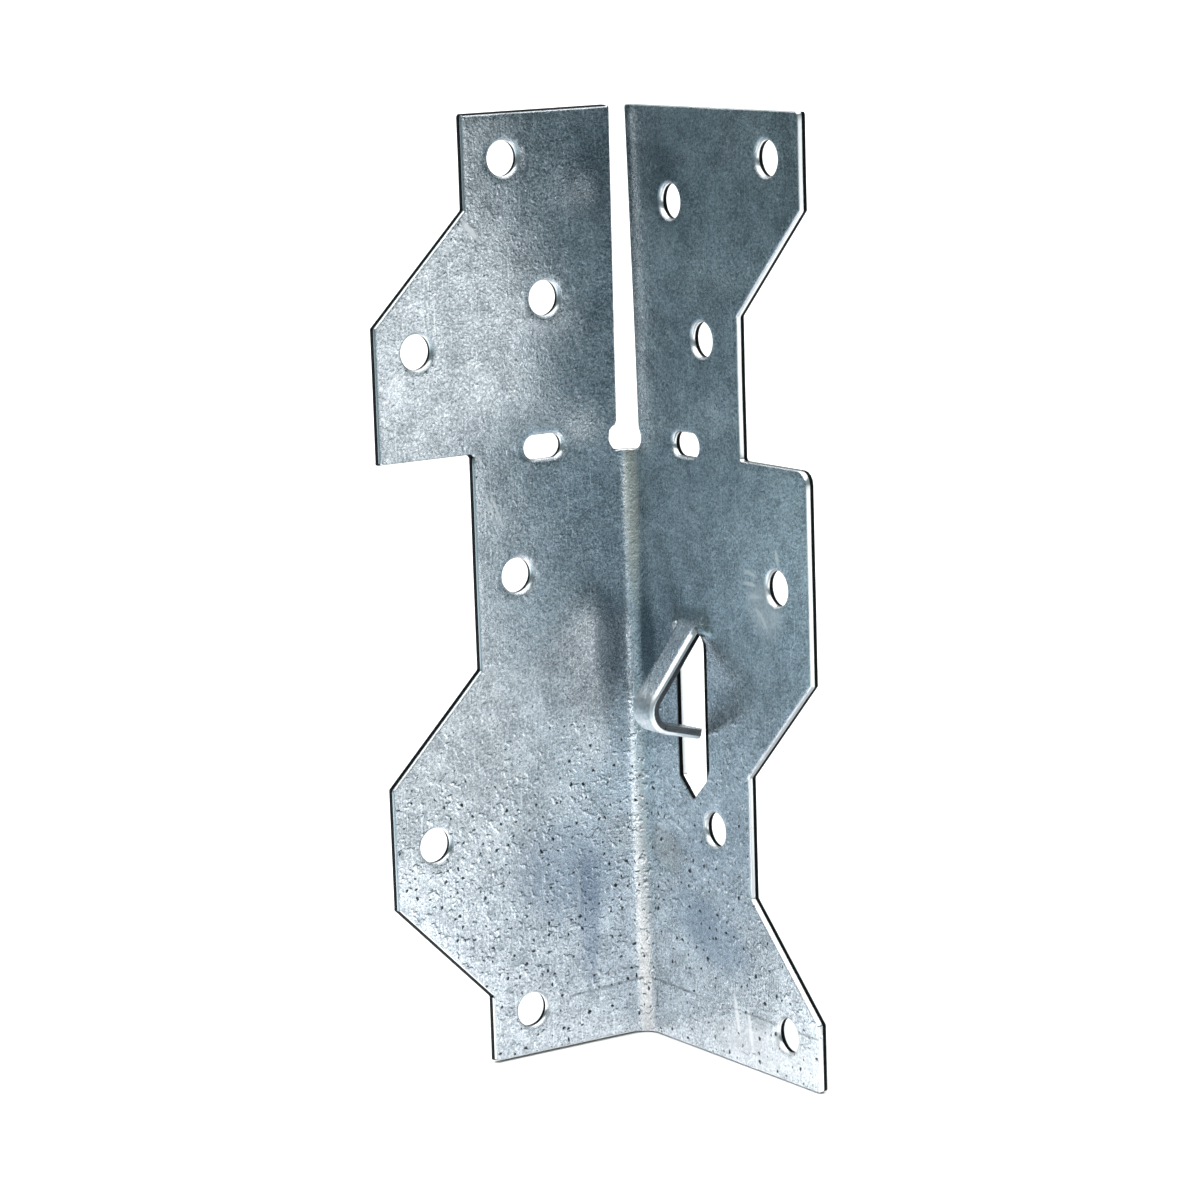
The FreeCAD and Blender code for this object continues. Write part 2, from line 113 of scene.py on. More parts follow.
# The slit that parts the two flaps narrows upwards. At its foot it ends in a relief, made with two round
# punches that overlap: each arc runs between its lowest point and the angle where it meets the slit's side.
SLIT_TOP_RIGHT, SLIT_TOP_LEFT = 1.85, 2.87
RELIEF_RIGHT, RELIEF_LEFT = 1.75, 2.95
RELIEF_FOOT, MEETS_RIGHT, MEETS_LEFT = -90, 49, 80
outline = divided(rounded(
    side_of(RIGHT, [
        (LEG_WIDE, 0, PUNCH_ROUND), (LEG_WIDE, SLOPE_LOW, PUNCH_ROUND),
        (LEG_NARROW, SLOPE_LOW + EAR, PUNCH_ROUND), (LEG_NARROW, SLOPE_MID, PUNCH_ROUND),
        (LEG_WIDE, SLOPE_MID + EAR, PUNCH_ROUND), (LEG_WIDE, STEP_RIGHT, EAR_ROUND),
        (LEG_NARROW, STEP_RIGHT, PUNCH_ROUND), (LEG_NARROW, SLOPE_TOP, PUNCH_ROUND),
        (LEG_WIDE, SLOPE_TOP + EAR, PUNCH_ROUND), (LEG_WIDE, HEIGHT, PUNCH_ROUND),
        (SLIT_TOP_RIGHT, HEIGHT, PUNCH_ROUND)])
    + relief_arc(RIGHT, RELIEF_RIGHT, MEETS_RIGHT, RELIEF_FOOT)
    + relief_arc(LEFT, RELIEF_LEFT, RELIEF_FOOT, MEETS_LEFT)
    + side_of(LEFT, [
        (SLIT_TOP_LEFT, HEIGHT, PUNCH_ROUND), (LEG_NARROW, HEIGHT, PUNCH_ROUND),
        (LEG_NARROW, SLOPE_TOP + EAR, PUNCH_ROUND), (LEG_WIDE, SLOPE_TOP, PUNCH_ROUND),
        (LEG_WIDE, STEP_LEFT, PUNCH_ROUND), (LEG_NARROW, STEP_LEFT, PUNCH_ROUND),
        (LEG_NARROW, SLOPE_MID + EAR, PUNCH_ROUND), (LEG_WIDE, SLOPE_MID, PUNCH_ROUND),
        (LEG_WIDE, SLOPE_LOW + EAR, PUNCH_ROUND), (LEG_NARROW, SLOPE_LOW, PUNCH_ROUND),
        (LEG_NARROW, 0, PUNCH_ROUND)])), OUTLINE_STEP)

# Twelve nail holes and two bend slots are punched through the flat blank in the same stroke as its outline.
# Each is an outline of its own, walked the other way round so that the steel always lies on its left.
NAIL_HOLE, HOLE_STEPS = 4.2, 44
SLOT_LENGTH, OPENING_STEP = 5.4, 0.5
NAILS = [
    (LEFT, 18.1, 5.6), (LEFT, 30.9, 28.1), (LEFT, 18.1, 59.2), (LEFT, 30.9, 87.1), (LEFT, 18.1, 108.85),
    (LEFT, 12.95, 92.0), (RIGHT, 30.3, 5.6), (RIGHT, 16.5, 28.1), (RIGHT, 30.3, 59.2), (RIGHT, 16.5, 87.1),
    (RIGHT, 30.3, 108.85), (RIGHT, 10.7, 103.1)]
BEND_SLOTS = [(LEFT, 13.8), (RIGHT, 12.6)]
around = -2 * math.pi * np.arange(HOLE_STEPS) / HOLE_STEPS
ring = NAIL_HOLE / 2 * np.stack([np.cos(around), np.sin(around)], 1)
openings = [np.array([on_blank(leg, u), z]) + ring for leg, u, z in NAILS]
half_long, half_wide = SLOT_LENGTH / 2, SLOT_WIDTH / 2
for leg, u in BEND_SLOTS:
    s = on_blank(leg, u)
    openings.append(divided(rounded([
        (s - half_long, BEND_LINE - half_wide, half_wide), (s - half_long, BEND_LINE + half_wide, half_wide),
        (s + half_long, BEND_LINE + half_wide, half_wide), (s + half_long, BEND_LINE - half_wide, half_wide)],
        steps=10), OPENING_STEP))

# The prong is lanced out of the right leg: cut free on three sides, bent out at its root and back at its
# knee. On the blank it lies in its window, drawn short so that its point clears the window's, and its path
# gives the turn of the steel along its full length. The root is a soft swell above the end of the cut.
WINDOW_LEFT, WINDOW_RIGHT = 9.55, 15.05
WINDOW_MIDDLE = (WINDOW_LEFT + WINDOW_RIGHT) / 2
WINDOW_POINT, POINT_ROUND = 2.6, 0.32
PRONG_LEFT, PRONG_RIGHT = 10.75, 14.95
PRONG_MIDDLE = (PRONG_LEFT + PRONG_RIGHT) / 2
PRONG_POINT = 1.4
HINGE_HEIGHT = 55.2
PRONG_LEAN, PRONG_DIP = math.radians(38.5), math.radians(14.5)
KNEE_TURN = PRONG_LEAN + math.pi / 2 - PRONG_DIP
ROOT_RADIUS, KNEE_RADIUS = 4.6, 2.4
ROOT_BEND, UPPER_LEG, KNEE_BEND, LOWER_LEG = ROOT_RADIUS * PRONG_LEAN, 9.76, KNEE_RADIUS * KNEE_TURN, 6.46
path_ends = np.cumsum([0, ROOT_BEND, UPPER_LEG, KNEE_BEND, LOWER_LEG])
PRONG_LENGTH = path_ends[-1]
DRAWN_SHORT = 3.0
DRAWN_LENGTH = PRONG_LENGTH - DRAWN_SHORT
LANCE_TOP = HINGE_HEIGHT - ROOT_BEND
WINDOW_FOOT = HINGE_HEIGHT - PRONG_LENGTH
PRONG_FOOT = HINGE_HEIGHT - DRAWN_LENGTH
PATH_STEPS = 2400
path_along = np.linspace(0, PRONG_LENGTH, PATH_STEPS)
path_turn = np.interp(path_along, path_ends, [0, PRONG_LEAN, PRONG_LEAN] + [PRONG_DIP - math.pi / 2] * 2)
path_step = PRONG_LENGTH / (PATH_STEPS - 1)
path_out = SHEET / 2 + np.cumsum(np.sin(path_turn)) * path_step
path_up = HINGE_HEIGHT - np.cumsum(np.cos(path_turn)) * path_step
openings.append(divided(rounded(side_of(RIGHT, [
    (WINDOW_LEFT, LANCE_TOP, PUNCH_ROUND), (PRONG_LEFT, LANCE_TOP, PUNCH_ROUND),
    (PRONG_LEFT, PRONG_FOOT + PRONG_POINT, POINT_ROUND), (PRONG_MIDDLE, PRONG_FOOT, POINT_ROUND),
    (PRONG_RIGHT, PRONG_FOOT + PRONG_POINT, POINT_ROUND),
    (PRONG_RIGHT, LANCE_TOP, 0), (WINDOW_RIGHT, LANCE_TOP, 0),
    (WINDOW_RIGHT, WINDOW_FOOT + WINDOW_POINT, POINT_ROUND), (WINDOW_MIDDLE, WINDOW_FOOT, POINT_ROUND),
    (WINDOW_LEFT, WINDOW_FOOT + WINDOW_POINT, POINT_ROUND)])), OPENING_STEP))
CUT_LEFT, CUT_RIGHT, CUT_FOOT = PRONG_LEFT - 0.4, PRONG_RIGHT + 0.05, PRONG_FOOT - 0.2
SWELL_ASIDE, SWELL_BELOW, SWELL_LEAST = 1.7, 0.9, 0.002


def on_prong(s, z):
    """True where a point of the blank belongs to the prong: within lines that run inside the open cut."""
    inside = (s > on_blank(RIGHT, CUT_LEFT)) & (s < on_blank(RIGHT, CUT_RIGHT))
    return inside & (z < LANCE_TOP) & (z > CUT_FOOT)


def pulled(s, z):
    """How far the steel follows the prong's path: all the way on it and above it, less to each side of it.

    The share falls off as a bell curve across the sheet, and as another one below the end of the cut."""
    aside = np.maximum(np.maximum(on_blank(RIGHT, PRONG_LEFT) - s, s - on_blank(RIGHT, PRONG_RIGHT)), 0)
    below = np.maximum(LANCE_TOP - z, 0)
    share = np.exp(-(aside / SWELL_ASIDE) ** 2 - (below / SWELL_BELOW) ** 2)
    return np.where(on_prong(s, z), 1.0, np.where(share > SWELL_LEAST, share, 0.0))


# The edges are sheared: the steel rolls over where the punch enters, is burnished bright, and then tears. The
# outline, the holes and the prong are cut from the hollow side, and the window from the back. A profile is
# carried along every edge: its depth into the sheet and its height off the middle.
SHEAR_DEPTH = np.array([0.26, 0.13, 0.05, 0.012, 0.0, 0.0, 0.012, 0.05, 0.06, 0.26])
SHEAR_HEIGHT = np.array([0.6, 0.586, 0.545, 0.47, 0.38, -0.04, -0.07, -0.5, -0.6, -0.6])
SHEAR_BRIGHT = np.array([0.0, 0.0, 0.2, 0.8, 1.0, 1.0, 0.0, 0.0, 0.0, 0.0])
SHEAR_TORN = np.array([0.0, 0.0, 0.0, 0.0, 0.0, 0.0, 1.0, 1.0, 0.6, 0.0])
HOLE_DEPTH = np.array([0.36, 0.24, 0.13, 0.04, 0.0, 0.0, 0.012, 0.05, 0.06, 0.26])
HOLE_HEIGHT = np.array([0.6, 0.565, 0.49, 0.37, 0.26, -0.04, -0.07, -0.5, -0.6, -0.6])
LANCE_DEPTH = np.array([0.52, 0.42, 0.3, 0.16, 0.04, 0.0, 0.012, 0.05, 0.06, 0.26])
LANCE_HEIGHT = np.array([0.6, 0.53, 0.42, 0.28, 0.12, -0.02, -0.06, -0.52, -0.6, -0.6])
LANCE_BRIGHT = np.array([0.0, 0.8, 1.0, 1.0, 1.0, 1.0, 0.0, 0.0, 0.0, 0.0])
WORN_HEIGHT = np.array([0.6, 0.586, 0.545, 0.47, 0.43, 0.24, 0.2, -0.52, -0.6, -0.6])
LEANING_DEPTH = np.array([0.4, 0.3, 0.25, 0.23, 0.22, 0.21, 0.2, 0.01, 0.0, 0.2])

loops = [outline] + openings
edge = np.concatenate(loops)
starts = np.cumsum([0] + [len(loop) for loop in loops])
after = np.concatenate([np.roll(np.arange(a, b), -1) for a, b in zip(starts[:-1], starts[1:])])
number = np.arange(len(edge))
before = np.empty_like(after)
before[after] = number
run_in, run_out = edge - edge[before], edge[after] - edge
run_in /= np.linalg.norm(run_in, axis=1, keepdims=True)
run_out /= np.linalg.norm(run_out, axis=1, keepdims=True)
steel_side = np.stack([-(run_in + run_out)[:, 1], (run_in + run_out)[:, 0]], 1)
steel_side /= (1 + (run_in * run_out).sum(1))[:, None]
in_window = number >= starts[-2]
prong_edge = in_window & on_prong(*edge.T)
window_edge = in_window & ~prong_edge
from_back = window_edge[:, None]
wall_depth = np.where(from_back, SHEAR_DEPTH[::-1], SHEAR_DEPTH)
wall_height = np.where(from_back, -SHEAR_HEIGHT[::-1], SHEAR_HEIGHT)
wall_bright = np.where(from_back, SHEAR_BRIGHT[::-1], SHEAR_BRIGHT)
wall_torn = np.where(from_back, SHEAR_TORN[::-1], SHEAR_TORN)

# The holes roll in further. A worn tool cut the left leg's outline, so most of its thickness is torn, and the
# cut leans where it faces down or straight up.
FACES_DOWN, FACES_UP = 0.3, -0.9
punched = (number >= len(outline)) & ~in_window
wall_depth[punched] = HOLE_DEPTH
wall_height[punched] = HOLE_HEIGHT
worn_cut = (number < len(outline)) & (edge[:, 0] < -FOLD_HALF)
leaning = worn_cut & ((steel_side[:, 1] > FACES_DOWN) | (steel_side[:, 1] < FACES_UP))
wall_height[worn_cut] = WORN_HEIGHT
wall_depth[leaning] = LEANING_DEPTH

# The prong's edge is rolled over nearly half its thickness at the root, and less towards its point. Left of
# the prong the end of the cut closes up, and on the hollow side the window's right rim is ripped.
ROLL_LOST, TORN_LOST = 0.45, 0.4
CLOSING = 2.0
RIPPED_RIM, RIPPED_EASE, RIP_END, RIP_TAPER = 0.85, 0.12, 0.5, 1.5
FACES_LEFT = 0.9
to_tip = np.clip((LANCE_TOP - edge[:, 1:]) / (LANCE_TOP - PRONG_FOOT), 0, 1)
wall_depth[prong_edge] = (LANCE_DEPTH * (1 - ROLL_LOST * to_tip))[prong_edge]
wall_height[prong_edge] = (LANCE_HEIGHT + to_tip * (WORN_HEIGHT - LANCE_HEIGHT))[prong_edge]
wall_bright[prong_edge] = LANCE_BRIGHT
wall_torn[prong_edge] *= (1 - TORN_LOST * to_tip)[prong_edge]
closed_cut = in_window & (edge[:, 0] < on_blank(RIGHT, PRONG_MIDDLE))
wall_torn[closed_cut] *= np.clip((LANCE_TOP - edge[closed_cut, 1:]) / CLOSING, 0, 1)
ripped = window_edge & (steel_side[:, 0] > FACES_LEFT) & (edge[:, 1] < LANCE_TOP - RIP_END)
from_ends = np.minimum(edge[ripped, 1] - WINDOW_FOOT - WINDOW_POINT, LANCE_TOP - edge[ripped, 1])
rip = np.clip(from_ends / RIP_TAPER, 0, 1)[:, None]
ripped_depth = np.array([RIPPED_RIM, RIPPED_RIM - RIPPED_EASE])
wall_depth[ripped, :2] += rip * (ripped_depth - wall_depth[ripped, :2])
wall_torn[ripped, 1:-1] = np.maximum(wall_torn[ripped, 1:-1], rip)
rim = edge + steel_side * wall_depth[:, :1]


def crossings(points, line_start, line_end):
    """How many sides of the outlines a line from each point to the right crosses, odd inside the steel."""
    (s, z), (a, b), (c, d) = points.T[:, :, None], line_start.T[:, None], line_end.T[:, None]
    between = (b > z) != (d > z)
    return (between & (s < a + (z - b) * (c - a) / np.where(between, d - b, 1))).sum(1)


def distance(points, line_start, line_end):
    """Distance of each point from the nearest side of the outlines."""
    side = line_end - line_start
    away = points[:, None] - line_start
    share = np.clip((away * side).sum(2) / (side ** 2).sum(1), 0, 1)
    return np.linalg.norm(away - share[:, :, None] * side, axis=2).min(1)


# Between the edges the two faces of the sheet are filled with a lattice of points joined by triangles. It is
# close across the fold and round the prong, where the sheet is bent, and wider on the flat legs.
LATTICE = 0.9
ROOT_LATTICE = LATTICE / 3
FOLD_COLUMNS, FOLD_MARGIN = 17, 0.4
ROOT_ASIDE, ROOT_ABOVE, ROOT_CLEAR = 4, 2, 0.2
RIM_CLEAR = 0.15
BATCHES = 20
fold_columns = np.linspace(-FOLD_HALF - FOLD_MARGIN, FOLD_HALF + FOLD_MARGIN, FOLD_COLUMNS)
leg_columns = np.arange(fold_columns[-1] + LATTICE / 2, on_blank(RIGHT, LEG_WIDE), LATTICE)
columns = np.concatenate([-leg_columns[::-1], fold_columns, leg_columns])
lattice = np.stack(np.meshgrid(columns, np.arange(LATTICE / 2, HEIGHT, LATTICE)), -1).reshape(-1, 2)
root_left, root_right = on_blank(RIGHT, PRONG_LEFT - ROOT_ASIDE), on_blank(RIGHT, PRONG_RIGHT + ROOT_ASIDE)
root_s = np.arange(root_left, root_right, ROOT_LATTICE)
root_z = np.arange(PRONG_FOOT, HINGE_HEIGHT + ROOT_ABOVE, ROOT_LATTICE)
root_lattice = np.stack(np.meshgrid(root_s, root_z), -1).reshape(-1, 2)
root_low, root_high = root_lattice.min(0) - ROOT_CLEAR, root_lattice.max(0) + ROOT_CLEAR
root_box = (lattice >= root_low).all(1) & (lattice <= root_high).all(1)
lattice = np.concatenate([lattice[~root_box], root_lattice])
chosen = [part[crossings(part, rim, rim[after]) % 2 == 1] for part in np.array_split(lattice, BATCHES)]
chosen = [part[distance(part, rim, rim[after]) > RIM_CLEAR] for part in chosen]
flat_points = np.concatenate([rim] + chosen)
sides = np.stack([number, after], 1)
made = delaunay_2d_cdt(flat_points.tolist(), sides.tolist(), [], 1, 1e-6, True)
flat = np.array(made[0])
triangles = np.array(made[2])
triangles = triangles[crossings(flat[triangles].mean(1), rim, rim[after]) % 2 == 1]
rim_place = np.full(len(flat_points), -1)
rim_place[np.array(made[3])[:, 0]] = np.arange(len(flat))
rim_place = rim_place[:len(rim)]


# The press folds the blank to a right angle, and bends the prong out of the right leg. The finished sheet
# stays a little wavy, as thin sheet does.
def folded(s, z, h):
    """Where a point of the blank ends up, h off its middle towards the hollow side.

    Across the fold the blank follows an arc of radius FOLD_MIDDLE, and beyond it the straight legs. On the
    prong the distance from the root is carried along the path, and h is laid off square to it."""
    bent = np.clip(s, -FOLD_HALF, FOLD_HALF)
    angle = 3 * math.pi / 4 - bent / FOLD_MIDDLE
    reach = FOLD_MIDDLE - h
    x = low[0] + FOLD_OUTER + reach * np.cos(angle) + (s - bent) * np.sin(angle)
    y = high[1] - FOLD_OUTER + reach * np.sin(angle) - (s - bent) * np.cos(angle)
    past_cut = np.minimum(z - LANCE_TOP, 0) * (PRONG_LENGTH - ROOT_BEND) / (DRAWN_LENGTH - ROOT_BEND)
    along = HINGE_HEIGHT - np.maximum(z, LANCE_TOP) - np.where(on_prong(s, z), past_cut, 0)
    turn = np.interp(along, path_along, path_turn)
    out = np.interp(along, path_along, path_out) + h * np.cos(turn)
    up = np.interp(along, path_along, path_up) + h * np.sin(turn)
    share = pulled(s, z) * (along > 0)
    sunk = np.where(on_prong(s, z), up, z + up - np.maximum(z, LANCE_TOP))
    return np.stack([x, y + share * (high[1] - out - y), z + share * (sunk - z)], 1)


RIPPLE_MEAN, RIPPLE_SLOW, RIPPLE_QUICK, RIPPLE_MOST = 0.05, 0.012, 0.003, 0.12
DRAG_U, DRAG_Z, DRAG_WIDE, DRAG_TALL, DRAG_HIGH = 29.8, 57.6, 2.6, 3.4, 0.08


def waviness(s, z):
    """How far the sheet strays from flat, towards the hollow side, in millimetres.

    A sum of slow and quick sine ripples left by the coil and the press, plus a low bell-shaped bulge where a
    nail hole's punch dragged the steel of the right leg."""
    slow = np.sin(0.21 * s + 0.13 * z + 0.6) + np.sin(0.29 * s - 0.17 * z + 2.1) + np.sin(0.11 * s - 0.31 * z)
    quick = np.sin(0.63 * s + 0.37 * z + 1.3) + np.sin(0.41 * s - 0.71 * z + 0.4)
    dragged = np.exp(-((s - on_blank(RIGHT, DRAG_U)) / DRAG_WIDE) ** 2 - ((z - DRAG_Z) / DRAG_TALL) ** 2)
    ripples = np.clip(RIPPLE_MEAN + RIPPLE_SLOW * slow + RIPPLE_QUICK * quick, 0, RIPPLE_MOST)
    return ripples + DRAG_HIGH * dragged


SHARP = math.radians(40)
wall_flat = edge[:, None] + steel_side[:, None] * wall_depth[:, :, None]
inner_wall = slice(1, len(SHEAR_DEPTH) - 1)
wall_count = len(SHEAR_DEPTH) - 2
faces = len(flat)
blank_s = np.concatenate([flat[:, 0], flat[:, 0], wall_flat[:, inner_wall, 0].ravel()])
blank_z = np.concatenate([flat[:, 1], flat[:, 1], wall_flat[:, inner_wall, 1].ravel()])
face_h = np.repeat([SHEET / 2, -SHEET / 2], faces)
blank_h = np.concatenate([face_h, wall_height[:, inner_wall].ravel()])
points = folded(blank_s, blank_z, blank_h + waviness(blank_s, blank_z)) / 1000
wall_rows = 2 * faces + number[:, None] * wall_count + np.arange(wall_count)
wall_rows = np.concatenate([rim_place[:, None], wall_rows, rim_place[:, None] + faces], 1)
walls = np.stack([wall_rows[:, :-1], wall_rows[:, 1:], wall_rows[after][:, 1:], wall_rows[after][:, :-1]], -1)
polygons = triangles.tolist() + (triangles[:, ::-1] + faces).tolist() + walls.reshape(-1, 4).tolist()
mesh = bpy.data.meshes.new("galvanised_angle")
mesh.from_pydata(points.tolist(), [], polygons)
mesh.polygons.foreach_set("use_smooth", np.ones(len(polygons), bool))
mesh.set_sharp_from_angle(angle=SHARP)
for name, values in [
    ("burnished", np.concatenate([np.zeros(2 * faces), wall_bright[:, inner_wall].ravel()])),
    ("torn", np.concatenate([np.zeros(2 * faces), wall_torn[:, inner_wall].ravel()])),
]:
    mesh.attributes.new(name, "FLOAT", "POINT").data.foreach_set("value", values.astype(np.float32))
blank_place = np.stack([blank_s, blank_z, blank_h], 1).astype(np.float32)
mesh.attributes.new("blank", "FLOAT_VECTOR", "POINT").data.foreach_set("vector", blank_place.ravel())
angle_piece = bpy.data.objects.new("galvanised_angle", mesh)
bpy.context.scene.collection.objects.link(angle_piece)
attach(angle_piece, "root")
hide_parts("framing_angle")


# Hot-dip galvanised steel: zinc frozen on the sheet, a cool grey metal with a fine spangle and a satin sheen.
# The eye sees small crystals that differ a little in brightness, soft clouds, dark pits and the scratches of
# handling. On the cut edges the zinc is gone: a bright burnished band, then dark torn steel.
def linear(code):
    """A colour given as sRGB hex, turned to linear red, green, blue and full alpha."""
    share = np.array([int(code[k:k + 2], 16) for k in (1, 3, 5)]) / 255
    return (*np.where(share <= 0.04045, share / 12.92, ((share + 0.055) / 1.055) ** 2.4), 1.0)


def add(kind, sockets, **settings):
    """A new node in the tree at hand, with its settings, and a value or a linked output for each socket."""
    new = tree.nodes.new(kind)
    for name, value in settings.items():
        setattr(new, name, value)
    for socket, value in sockets.items():
        if isinstance(value, bpy.types.NodeSocket):
            tree.links.new(value, new.inputs[socket])
        else:
            new.inputs[socket].default_value = value
    return new


zinc = bpy.data.materials.new("hot_dip_galvanised_steel")
zinc.use_nodes = True
mesh.materials.append(zinc)
tree = zinc.node_tree
shader = tree.nodes["Principled BSDF"]
shader.inputs["Metallic"].default_value = 1.0

# The skin: crystals of a millimetre or two, finer frost between them, slow clouds. The frost of real zinc is
# under a tenth of a millimetre, and is drawn four times as coarse so that it shows. The sheet's two faces are
# pulled apart in the pattern, so that the back has its own.
FROST, CRYSTAL, MOTTLE, CLOUD = 0.28, 1.7, 3.2, 21.0
CRYSTAL_SHARE, BROAD_SHARE = 0.1, 0.45
NOISE_LOW, NOISE_HIGH = 0.32, 0.68
SKIN_DARK, SKIN_PALE = (0.57, "#a1a8ae"), (1.0, "#f3f8fd")
PULLED_APART = (1, 1, 30)
place = add("ShaderNodeAttribute", {}, attribute_name="blank").outputs["Vector"]
faces_apart = add("ShaderNodeVectorMath", {0: place, 1: PULLED_APART}, operation="MULTIPLY").outputs["Vector"]
frost = add("ShaderNodeTexNoise", {"Vector": faces_apart, "Scale": 1 / FROST, "Detail": 2.0,
                                   "Distortion": 0.5})
frosted = add("ShaderNodeMapRange", {0: frost.outputs["Fac"], 1: NOISE_LOW, 2: NOISE_HIGH,
                                     3: 0.06, 4: 0.48}).outputs[0]
mottle = add("ShaderNodeTexNoise", {"Vector": faces_apart, "Scale": 1 / MOTTLE, "Detail": 3.0}).outputs["Fac"]
cloud = add("ShaderNodeTexNoise", {"Vector": faces_apart, "Scale": 1 / CLOUD, "Detail": 3.0}).outputs["Fac"]
crystal = add("ShaderNodeTexVoronoi", {"Vector": place, "Scale": 1 / CRYSTAL}, voronoi_dimensions="2D")
crystal_tone = add("ShaderNodeSeparateColor", {"Color": crystal.outputs["Color"]}).outputs["Red"]
fine = add("ShaderNodeMath", {0: crystal_tone, 1: CRYSTAL_SHARE, 2: frosted},
           operation="MULTIPLY_ADD").outputs[0]
broad = add("ShaderNodeMath", {0: mottle, 1: cloud}, operation="ADD").outputs[0]
tone = add("ShaderNodeMath", {0: broad, 1: BROAD_SHARE, 2: fine}, operation="MULTIPLY_ADD").outputs[0]
skin = add("ShaderNodeValToRGB", {"Fac": tone})
for element, (position, code) in zip(skin.color_ramp.elements, [SKIN_DARK, SKIN_PALE]):
    element.position = position
    element.color = linear(code)

# Hair scratches, from blanks that rub on each other: a few millimetres long, in two main directions. Real
# ones are finer, and these are drawn as coarse as the frost so that they show.
HAIR_WIDE = 0.3
HAIR_LIE = [(0.5, 9.0), (-0.9, 6.0)]
hair = []
for turn, length in HAIR_LIE:
    lie = add("ShaderNodeMapping", {"Vector": faces_apart, "Rotation": (0, 0, turn),
                                    "Scale": (1 / HAIR_WIDE, 1 / length, 1)}).outputs["Vector"]
    line = add("ShaderNodeTexNoise", {"Vector": lie, "Scale": 1.0, "Detail": 1.0}).outputs["Fac"]
    hair.append(add("ShaderNodeMapRange", {0: line, 1: 0.66, 2: 0.76, 3: 0.0, 4: 1.0}).outputs[0])
hairs = add("ShaderNodeMath", {0: hair[0], 1: hair[1]}, operation="MAXIMUM").outputs[0]
skin_and_marks = add("ShaderNodeMix", {0: hairs, 6: skin.outputs["Color"], 7: linear("#f0f6f9")},
                data_type="RGBA").outputs[2]

